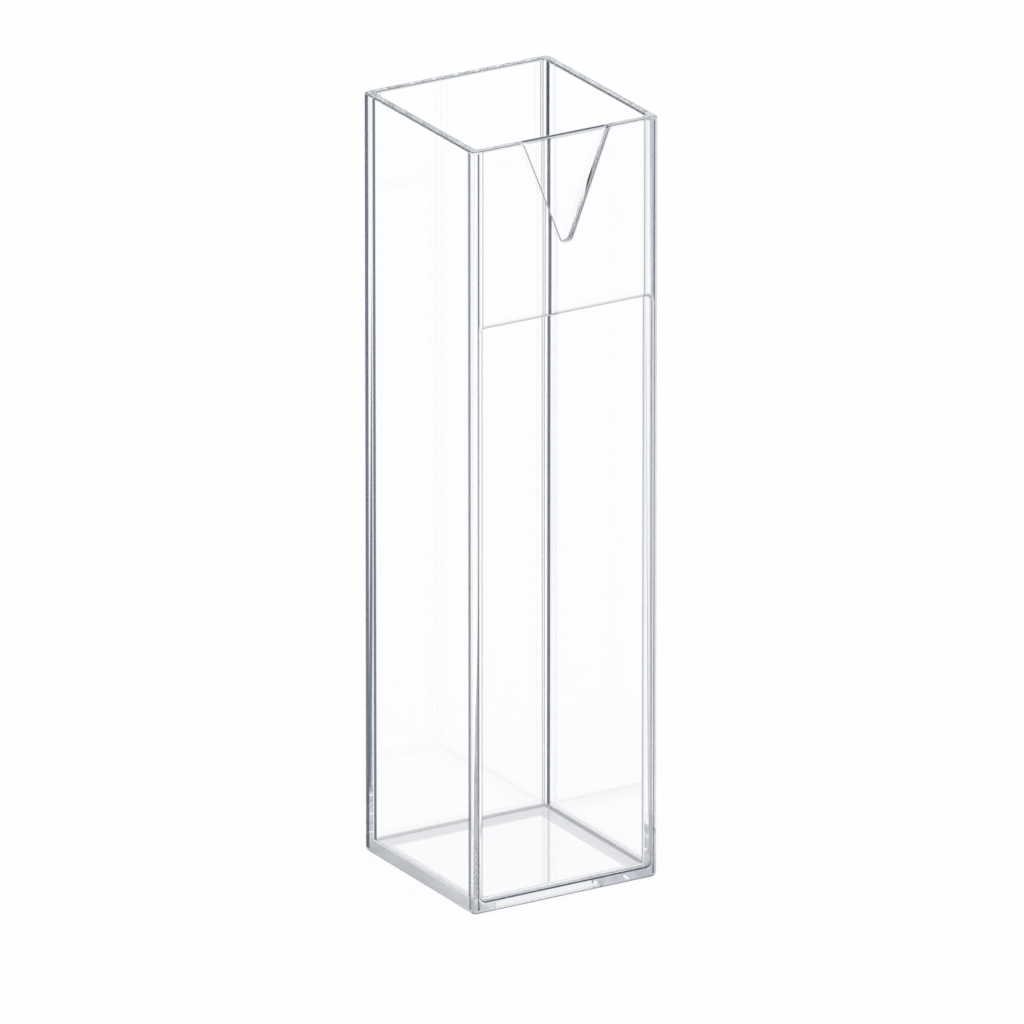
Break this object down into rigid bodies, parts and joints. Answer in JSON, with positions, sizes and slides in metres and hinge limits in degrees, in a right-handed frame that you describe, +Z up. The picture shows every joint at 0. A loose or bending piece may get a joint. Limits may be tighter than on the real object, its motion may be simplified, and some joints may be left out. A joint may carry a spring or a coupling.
{
  "type": "cuvette",
  "caption": "Clear square cuvette, open at the top, with a sunk optical window and a V mark on its front face; holds a liquid sample in a light beam.",
  "frame": {"origin": "centre of the underside of the base", "axes": "+Z up the cuvette to its open rim, -Y out of the face with the V mark and the window, +X to the right of that face as it is looked at"},
  "size_m": [0.012, 0.012, 0.045],
  "materials": {
    "clear_polystyrene": "clear polystyrene, polished by the mould on every face"
  },
  "bodies": {
    "root": {"cuvette": "clear_polystyrene"}
  },
  "joints": []
}
